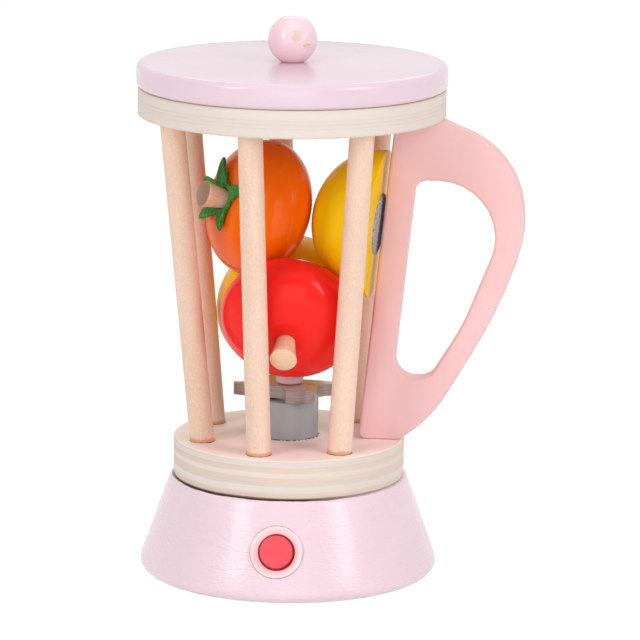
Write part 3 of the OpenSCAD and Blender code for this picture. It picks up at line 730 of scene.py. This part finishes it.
def make_drops(name, centre, radius, slot, material):
    """Drops of glue on the floor round a foot, most of them at the front right."""
    bm = bmesh.new()
    for i in range(16):
        angle = math.radians(-100 + 9 * i + 8 * noise.noise(Vector((i * 1.7, 0.3, 0))))
        size = (0.5 + 0.3 * noise.noise(Vector((i * 2.3, 4.1, 1)))) * MM
        far = radius + (0.3 + 0.8 * abs(noise.noise(Vector((i * 3.1, 9.2, 2))))) * MM
        spot = centre + Vector((math.cos(angle), math.sin(angle), 0)) * far
        made = bmesh.ops.create_icosphere(bm, subdivisions=2, radius=size)["verts"]
        for v in made:
            v.co = Vector((v.co.x, v.co.y, v.co.z * 0.7)) + spot
    add_piece(name, finished(bm, name, 80), "jug", slot, material)


def make_glue():
    low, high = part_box("blade_post")
    floor_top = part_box("jug_floor")[1].z
    level = floor_top + GLUE_OFF
    white = glue("white_glue", srgb(232, 230, 228), 0.25)
    brown = glue("brown_glue", srgb(120, 74, 62), 0.5)
    radius = (high.x - low.x) / 2
    foot = Vector((0, 0, level))
    make_bead("post_seam", circle_path(radius + GLUE_OFF, foot, 130), 0.35 * MM, "grey_paint",
              brown, 5.1)
    make_drops("post_glue", foot, radius, "grey_paint", white)
    for i in DOWELS:
        centre, lean = dowel_line(f"dowel_{i}")
        foot = centre + lean * (level - centre.z)
        make_bead(f"dowel_glue_{i}", circle_path(DOWEL_R, foot, 60), 0.3 * MM, "beech", brown,
                  i * 1.9, 0.15)
    edge = [v.co for v in nodes["handle"].data.vertices if abs(v.co.z - floor_top) < FOOT_NEAR]
    low = (min(v.x for v in edge), min(v.y for v in edge))
    high = (max(v.x for v in edge), max(v.y for v in edge))
    make_bead("handle_glue", rectangle_path(low, high, level), 0.35 * MM, "handle_paint", brown,
              7.7)


# --- Everything ---
def make_base_and_lid():
    floor_low, floor_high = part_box("jug_floor")
    # Where the painted shade line lies on the base: round the jug floor's edge, just below its
    # underside.
    gap_shade = (floor_high.x + 0.6 * MM, floor_low.z - 0.7 * MM)
    base_paint = gloss_paint("base_paint", srgb(240, 215, 224), srgb(237, 209, 219), 0.18,
                             (400, 400, 1300), 0.24, 0.1, gap_shade=gap_shade)
    dress("base_block", base_paint)
    lid_paint = gloss_paint("lid_paint", srgb(232, 206, 216), srgb(227, 201, 212), 0.22,
                            (220, 220, 700), 0.06, 0.15)
    dress("lid_disc", lid_paint)
    low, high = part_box("lid_knob")
    centre, tan = (low + high) / 2, srgb(232, 204, 182)
    chips = [(centre + Vector((2.6, -9.1, 2.6)) * MM, 2.2 * MM, (1, 1, 1), tan),
             (centre + Vector((6.4, -7.5, -1.3)) * MM, 2.4 * MM, (1, 1, 3), tan)]
    knob_paint = gloss_paint("knob_paint", srgb(247, 210, 220), srgb(246, 215, 223), 0.2,
                             (300, 300, 500), 0.06, chips=chips)
    dress("lid_knob", knob_paint, 75, domed)
    dress("lid_plug", pale_wood("plug_wood", (0, 1, 0), srgb(226, 200, 176), srgb(206, 172, 144)))
    outward = (middle("button") - middle("button_bezel")).normalized()
    dress("button_bezel", bezel_paint(middle("button_bezel"), outward))
    dress("button", button_paint())


def make_jug():
    dark, grey, cream = srgb(118, 76, 58), srgb(228, 216, 206), srgb(242, 230, 216)
    peach, white = srgb(238, 212, 192), srgb(244, 240, 234)
    # The two lowest dark brown stops are painted shade: the shadow line in the gap under the jug's
    # floor.
    plies = [(0.0, dark), (0.025, dark), (0.045, srgb(226, 198, 178)), (0.16, grey),
             (0.18, cream), (0.30, cream), (0.31, white), (0.34, grey),
             (0.44, srgb(224, 211, 198)), (0.46, peach), (0.55, peach), (0.57, cream),
             (0.67, srgb(240, 234, 228)), (0.69, peach), (0.80, srgb(240, 208, 184)),
             (0.815, srgb(214, 206, 200)), (0.84, srgb(234, 226, 219)),
             (0.95, srgb(232, 224, 216)), (0.97, peach), (1.0, srgb(236, 204, 182))]
    plies = [(at, shade(tone, 0.9)) for at, tone in plies]
    low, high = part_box("jug_floor")
    foot = high.z
    dress("jug_floor", plywood("floor_plywood", low.z, high.z - low.z, plies,
                               srgb(255, 241, 234), 0.3, srgb(226, 206, 193)))
    pale, line = srgb(227, 215, 207), srgb(221, 206, 195)
    plies = [(0.0, srgb(230, 204, 180)), (0.05, srgb(230, 206, 185)), (0.09, pale), (0.3, pale),
             (0.36, line), (0.4, pale), (0.5, line), (0.56, pale), (0.62, line), (0.68, pale),
             (0.9, pale), (1.0, line)]
    low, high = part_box("top_ring")
    dress("top_ring", plywood("ring_plywood", low.z, high.z - low.z, plies, srgb(234, 220, 208),
                              0.14))
    beech = srgb(240, 209, 189), srgb(231, 195, 171)
    for i in DOWELS:
        name = f"dowel_{i}"
        lean = dowel_line(name)[1]
        dress(name, pale_wood(name + "_wood", lean, *beech, (i * 0.31, i * 0.17, 0), foot))
    dress("jug_peg", pale_wood("peg_wood", (0, 0, 1), *beech))
    dress("handle_pins", pale_wood("pin_wood", (0, 0, 1), *beech))
    dress("handle", satin_paint("handle_paint", srgb(241, 198, 198), srgb(239, 189, 188), 62), 40)


def make_blade():
    dress("blade_post", post_paint())
    dress("blade", grey_blade_paint(), 30)
    dress("blade_cap", satin_paint("cap_paint", srgb(235, 208, 214), srgb(228, 198, 206)))
    for node in ("blade_washer", "blade_pin", "knob_screw", "button_spring"):
        dress(node, plain_metal(), 40)


def make_fruit():
    orange = fruit_paint("orange_paint", srgb(255, 118, 6), srgb(250, 100, 3))
    red = fruit_paint("red_paint", srgb(255, 42, 36), srgb(245, 30, 25))
    yellow = fruit_paint("yellow_paint", srgb(255, 214, 8), srgb(255, 200, 5), 0.1)
    dress("orange_fruit", orange, 60, swollen(0.2 * MM, 40, 1.0))
    dress("red_fruit", red, 60, swollen(0.2 * MM, 40, 5.0))
    dress("yellow_half_front", yellow, 40)
    dress("yellow_half_back", yellow, 40)
    # The orange stem's darker end colour is painted shade, as that end faces away from the key
    # light; the red stem's end colour is the wood's own.
    for fruit, stem, end in (("orange_fruit", "orange_stem", srgb(186, 146, 122)),
                             ("red_fruit", "red_stem", srgb(240, 202, 166))):
        axis = (middle(stem) - middle(fruit)).normalized()
        wood = stem_wood(stem + "_wood", axis, middle(stem), end)
        dress(stem, wood, 40, swollen(0.12 * MM, 300, 3.0))
    make_leaf(felt())
    cloth = patch_cloth()
    make_patch("hook_patch", "yellow_half_front", cloth)
    make_patch("loop_patch", "yellow_half_back", cloth)


# --- Studio ---
AMBIENT = 0.50  # strength of the white surroundings as a light
MIRROR_FRONT = 0.40  # how bright they look in glossy paint from the front; 1 from the back
MIRROR_TURN = 0.6  # the change from front to back goes from -this to +this in Y
FLOOR_GLOW = 0.88  # share of the floor's white that doesn't depend on the light
FLOOR_MATT = 0.9
FLOOR_BRIGHT = 1.1
FLOOR_REACH = 6  # metres from the middle to the floor's edge
LIGHT_AIM = Vector((0, 0, 0.11))
# Name, degrees from -Y towards +X, degrees up, distance, width and height in metres, watts
LIGHTS = [("key_right", 55, 28, 1.6, 0.36, 0.8, 6.9), ("fill_left", -40, 27, 1.6, 0.36, 0.8, 5.8),
          ("front", 4, 12, 1.8, 1.2, 1.2, 5.2), ("top", 0, 82, 1.4, 1.0, 1.0, 3.5),
          ("back", 178, 40, 1.8, 1.2, 0.8, 3)]


def add_light(name, azimuth, elevation, distance, width, height, power):
    """A soft panel that looks at the object."""
    data = bpy.data.lights.new(name, "AREA")
    data.shape = "RECTANGLE"
    data.size, data.size_y = width, height
    data.energy = power
    light = bpy.data.objects.new(name, data)
    a, e = math.radians(azimuth), math.radians(elevation)
    away = Vector((math.sin(a) * math.cos(e), -math.cos(a) * math.cos(e), math.sin(e)))
    light.location = LIGHT_AIM + distance * away
    light.rotation_euler = (-away).to_track_quat("-Z", "Y").to_euler()
    bpy.context.scene.collection.objects.link(light)


def make_world():
    world = bpy.data.worlds.new("studio")
    bpy.context.scene.world = world
    world.use_nodes = True
    tree = world.node_tree
    background = tree.nodes["Background"]
    path = tree.nodes.new("ShaderNodeLightPath")
    split = tree.nodes.new("ShaderNodeSeparateXYZ")
    tree.links.new(tree.nodes.new("ShaderNodeTexCoord").outputs["Generated"], split.inputs[0])
    mirrored = tree.nodes.new("ShaderNodeMapRange")
    tree.links.new(split.outputs["Y"], mirrored.inputs["Value"])
    for name, v in (("From Min", -MIRROR_TURN), ("From Max", MIRROR_TURN),
                    ("To Min", MIRROR_FRONT), ("To Max", 1.0)):
        mirrored.inputs[name].default_value = v
    strength = AMBIENT
    for ray, bright in (("Is Glossy Ray", mirrored.outputs[0]),
                        ("Is Transmission Ray", 1.0), ("Is Camera Ray", 1.0)):
        choice = tree.nodes.new("ShaderNodeMix")
        tree.links.new(path.outputs[ray], choice.inputs["Factor"])
        for socket, v in zip((choice.inputs["A"], choice.inputs["B"]), (strength, bright)):
            if isinstance(v, float):
                socket.default_value = v
            else:
                tree.links.new(v, socket)
        strength = choice.outputs["Result"]
    tree.links.new(strength, background.inputs["Strength"])
    background.inputs["Color"].default_value = (1, 1, 1, 1)


def make_floor():
    bm = bmesh.new()
    bmesh.ops.create_grid(bm, x_segments=1, y_segments=1, size=FLOOR_REACH)
    mesh = bpy.data.meshes.new("floor")
    bm.to_mesh(mesh)
    bm.free()
    floor = bpy.data.objects.new("floor", mesh)
    bpy.context.scene.collection.objects.link(floor)
    floor.location.z = -0.2 * MM
    material = bpy.data.materials.new("floor_white")
    material.use_nodes = True
    tree = material.node_tree
    tree.nodes.clear()
    path = tree.nodes.new("ShaderNodeLightPath")
    seen = tree.nodes.new("ShaderNodeMath")
    seen.operation = "MAXIMUM"
    tree.links.new(path.outputs["Is Camera Ray"], seen.inputs[0])
    tree.links.new(path.outputs["Is Glossy Ray"], seen.inputs[1])
    share = tree.nodes.new("ShaderNodeMath")
    share.operation = "MULTIPLY"
    share.inputs[1].default_value = FLOOR_GLOW
    tree.links.new(seen.outputs[0], share.inputs[0])
    matt = tree.nodes.new("ShaderNodeBsdfDiffuse")
    matt.inputs["Color"].default_value = (FLOOR_MATT,) * 3 + (1,)
    glow = tree.nodes.new("ShaderNodeEmission")
    glow.inputs["Strength"].default_value = FLOOR_BRIGHT
    blend = tree.nodes.new("ShaderNodeMixShader")
    tree.links.new(share.outputs[0], blend.inputs["Fac"])
    tree.links.new(matt.outputs[0], blend.inputs[1])
    tree.links.new(glow.outputs[0], blend.inputs[2])
    output = tree.nodes.new("ShaderNodeOutputMaterial")
    tree.links.new(blend.outputs[0], output.inputs["Surface"])
    mesh.materials.append(material)


def make_studio():
    make_world()
    make_floor()
    for light in LIGHTS:
        add_light(*light)
    bpy.context.scene.view_settings.view_transform = "Standard"


make_camera()
make_studio()
make_base_and_lid()
make_jug()
make_blade()
make_fruit()
make_glue()
